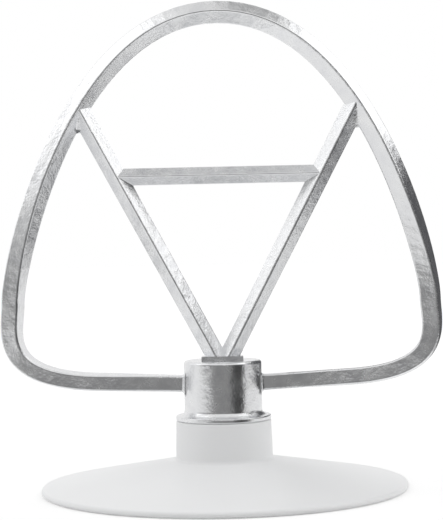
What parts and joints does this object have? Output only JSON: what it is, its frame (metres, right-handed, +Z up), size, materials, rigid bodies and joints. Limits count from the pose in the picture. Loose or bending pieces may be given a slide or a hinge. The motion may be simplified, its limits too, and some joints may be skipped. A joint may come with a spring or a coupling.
{
  "type": "stand mixer flat beater with splash guard",
  "caption": "Cast flat beater: a twisted square-bar loop with a V-shaped inner frame on a round hub, its drive bore inside a clip-on moulded splash guard.",
  "frame": {"origin": "centre of the splash guard's rim, on its lower plane, on which the part stands as stored", "axes": "+Z up the hub's axis to the crown of the loop; X along the loop's width; front is -Y"},
  "size_m": [0.1402, 0.116, 0.1547],
  "materials": {
    "cast_metal": "tumbled bright casting with a fine grain",
    "guard_plastic": "satin white moulding"
  },
  "bodies": {
    "root": {"beater": "cast_metal", "splash_guard": "guard_plastic"}
  },
  "joints": []
}
